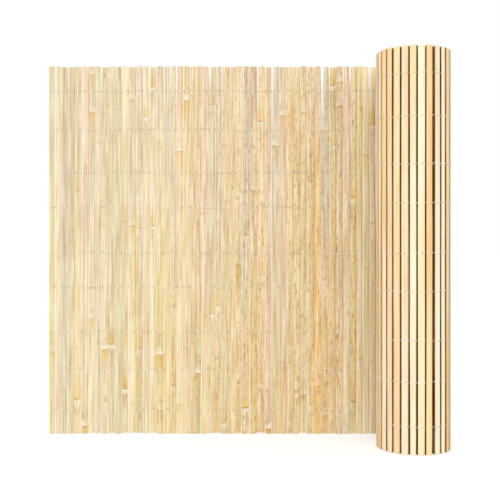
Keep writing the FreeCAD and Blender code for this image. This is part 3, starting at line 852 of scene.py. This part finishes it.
def strand(strips, height, start):
    """One strand of a row from the first slat to its tail.

    It lies on the pith and the rind faces in turn. In a gap it turns half a circle about the mat's middle, so
    its depth follows a cosine and its height a sine, and a whole turn takes two gaps. In the tail the circle
    shrinks to the wire's own radius.
    """
    count = len(strips["low"])
    share = ((height - strips["low"]) / strips["length"])[:, None]
    middle, half = side_lines(strips, share)
    across = half * FACE_STOPS
    off = WIRE_RADIUS + WIRE_SEAT
    rind = rind_depth(strips, share, across[:, None, :])[:, 0]
    behind = on_mat(strips, middle + across, np.full_like(across, -off), height)
    before = on_mat(strips, middle + across, rind + off, height)
    turn = np.pi * (np.arange(count) + start)
    faces = np.where(np.cos(turn)[:, None, None] > 0, behind, before)

    waist = strips["thick"][:, None] / 2
    left = on_mat(strips, middle - half, waist, height)[:, 0]
    right = on_mat(strips, middle + half, waist, height)[:, 0]
    reach = strips["thick"].mean() / 2 + off
    angle = turn[:-1, None] + np.pi * TWIST_STOPS
    outward = strips["outward"][:-1] + strips["outward"][1:]
    outward = outward / np.linalg.norm(outward, axis=1, keepdims=True)
    gaps = right[:-1, None] + (left[1:] - right[:-1])[:, None] * TWIST_STOPS[:, None]
    gaps = gaps + (reach * np.cos(angle))[..., None] * outward[:, None]
    gaps = gaps + (TWIST_REACH * np.sin(angle))[..., None] * UP
    woven = np.concatenate([faces[:-1], gaps], axis=1).reshape(-1, 3)

    forward = np.cos(TAIL_BEND) * strips["along"][-1] - np.sin(TAIL_BEND) * strips["outward"][-1]
    sideways = np.cos(TAIL_BEND) * strips["outward"][-1] + np.sin(TAIL_BEND) * strips["along"][-1]
    close = np.clip(TAIL_CLOSING * TAIL_STOPS, 0, 1)
    spread = reach * (1 - close) + WIRE_RADIUS * close
    angle = turn[-1] + 2 * np.pi * TAIL_TURNS * TAIL_STOPS
    tail = right[-1] + (TAIL_LENGTH * TAIL_STOPS)[:, None] * forward
    tail = tail + (spread * np.cos(angle))[:, None] * sideways
    tail = tail + (WIRE_RADIUS * np.sin(angle))[:, None] * UP
    return np.concatenate([woven, faces[-1], tail])


WIRE_SIDES = 6


def wire_tube(path):
    """Rings round a path (ring, around, axis): circles square to it, with one direction kept level."""
    run = np.gradient(path, axis=0)
    run = run / np.linalg.norm(run, axis=1, keepdims=True)
    level = np.cross(run, UP)
    level = level / np.linalg.norm(level, axis=1, keepdims=True)
    upright = np.cross(level, run)
    angle = 2 * np.pi * np.arange(WIRE_SIDES) / WIRE_SIDES
    circle = np.cos(angle)[:, None] * level[:, None] + np.sin(angle)[:, None] * upright[:, None]
    return path[:, None] + WIRE_RADIUS * circle


ZINC_PATCH = 6 * MM


def galvanised():
    """Zinc on drawn wire: pale metal, duller and greyer in small patches of a noise."""
    material, tree = new_material("galvanised_wire")
    place = add_node(tree, "ShaderNodeTexCoord").outputs["Object"]
    noise = add_node(tree, "ShaderNodeTexNoise", {"Vector": place, "Scale": 1 / ZINC_PATCH, "Detail": 3})
    patches = noise.outputs["Fac"]
    dull = (opaque(196, 184, 160), ranged(tree, patches, 0.44, 0.6), "MIX")
    surface = add_node(tree, "ShaderNodeBsdfPrincipled", {
        "Base Color": layered(tree, opaque(250, 245, 232), [dull]), "Metallic": 0.35,
        "Roughness": ranged(tree, patches, 0.35, 0.7, 0.3, 0.5)})
    add_node(tree, "ShaderNodeOutputMaterial", {"Surface": surface.outputs["BSDF"]})
    return material


BIGHT_DEPTH = 0.55  # where a row bends round the first slat, as a share of the slat's thickness
zinc = galvanised()
wire_rng = np.random.default_rng(seed=37)
first = {key: values[:1] for key, values in mat.items()}
for node in WIRE_NODES:
    low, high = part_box(node)
    height = row_height((low.z + high.z) / 2, len(mat["low"]), wire_rng)
    pith_strand, rind_strand = strand(mat, height, 0), strand(mat, height, 1)
    share = ((height[:1] - first["low"]) / first["length"])[:, None]
    middle, half = side_lines(first, share)
    bight = middle - half - WIRE_RADIUS - WIRE_SEAT
    bight = on_mat(first, bight, first["thick"][:, None] * BIGHT_DEPTH, height[:1])[0]
    rings = wire_tube(np.concatenate([rind_strand[::-1], bight, pith_strand]))
    piece = add_piece("twisted_" + node, rings, *ring_faces(1, *rings.shape[:2]), zinc, {})
    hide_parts(node)

# Stage: a white floor that keeps a soft shadow, an even white surround, a broad soft key lamp from the upper
# left and a weaker one from the upper right, and a camera level with the middle of the mat.
FLOOR_REACH = 40.0
FLOOR_DROP = 0.2 * MM
FLOOR_GREY = (0.5, 0.5, 0.5, 1)
FLOOR_GLOW = 0.2  # the floor's own light
FLOOR_SHOWN = 0.55  # and as it is seen, which brings it up to white
SURROUND = 1.0  # the surround's light
SURROUND_SHOWN = 1.0  # and as it is seen


def white_to_camera(tree, plain, shown):
    """A strength that is plain for light and shown for what the camera, mirrors and glass see."""
    path = add_node(tree, "ShaderNodeLightPath").outputs
    seen = sums(tree, "MAXIMUM", path["Is Camera Ray"], path["Is Glossy Ray"])
    seen = sums(tree, "MAXIMUM", seen, path["Is Transmission Ray"])
    return sums(tree, "ADD", plain, sums(tree, "MULTIPLY", seen, shown - plain))


floor_mesh = bpy.data.meshes.new("floor")
floor_corners = FLOOR_REACH * np.array([[-1, -1, 0], [1, -1, 0], [1, 1, 0], [-1, 1, 0]]) - FLOOR_DROP * UP
floor_mesh.from_pydata(floor_corners.tolist(), [], [(0, 1, 2, 3)])
floor_paint, floor_tree = new_material("white_floor")
floor_matt = add_node(floor_tree, "ShaderNodeBsdfDiffuse", {"Color": FLOOR_GREY})
floor_glow = add_node(floor_tree, "ShaderNodeEmission", {
    "Strength": white_to_camera(floor_tree, FLOOR_GLOW, FLOOR_SHOWN)})
floor_sum = add_node(floor_tree, "ShaderNodeAddShader", {
    0: floor_matt.outputs["BSDF"], 1: floor_glow.outputs["Emission"]})
add_node(floor_tree, "ShaderNodeOutputMaterial", {"Surface": floor_sum.outputs["Shader"]})
floor_mesh.materials.append(floor_paint)
floor = bpy.data.objects.new("floor", floor_mesh)
bpy.context.scene.collection.objects.link(floor)

world = bpy.data.worlds.new("white_surround")
world.use_nodes = True
world_tree = world.node_tree
world_tree.nodes.clear()
sky = add_node(world_tree, "ShaderNodeBackground", {
    "Color": (1, 1, 1, 1), "Strength": white_to_camera(world_tree, SURROUND, SURROUND_SHOWN)})
add_node(world_tree, "ShaderNodeOutputWorld", {"Surface": sky.outputs["Background"]})
bpy.context.scene.world = world


def soft_sun(name, strength, azimuth, elevation, spread):
    """A far lamp with even light, from an azimuth left of the camera and an elevation, in degrees."""
    lamp = bpy.data.lights.new(name, "SUN")
    lamp.energy = strength
    lamp.angle = np.radians(spread)
    made = bpy.data.objects.new(name, lamp)
    made.rotation_euler = (np.radians(90 - elevation), 0, np.radians(-azimuth))
    bpy.context.scene.collection.objects.link(made)


soft_sun("key_lamp", strength=0.7, azimuth=20, elevation=30, spread=50)
soft_sun("fill_lamp", strength=0.33, azimuth=-18, elevation=25, spread=60)

CAMERA_DISTANCE = 2.15  # metres from the mat's rind face
CAMERA_RIGHT = 18.6 * MM
LENS = 56.9  # mm
SENSOR = 36  # mm
camera = bpy.data.objects.new("camera", bpy.data.cameras.new("camera"))
camera.data.lens = LENS
camera.data.sensor_width = SENSOR
rind_plane = (flat["pith"] - flat["thick"]).min()
camera.location = (CAMERA_RIGHT, rind_plane - CAMERA_DISTANCE, flat["length"].max() / 2)
camera.rotation_euler = (np.pi / 2, 0, 0)
bpy.context.scene.collection.objects.link(camera)
bpy.context.scene.camera = camera
bpy.context.scene.view_settings.view_transform = "Standard"
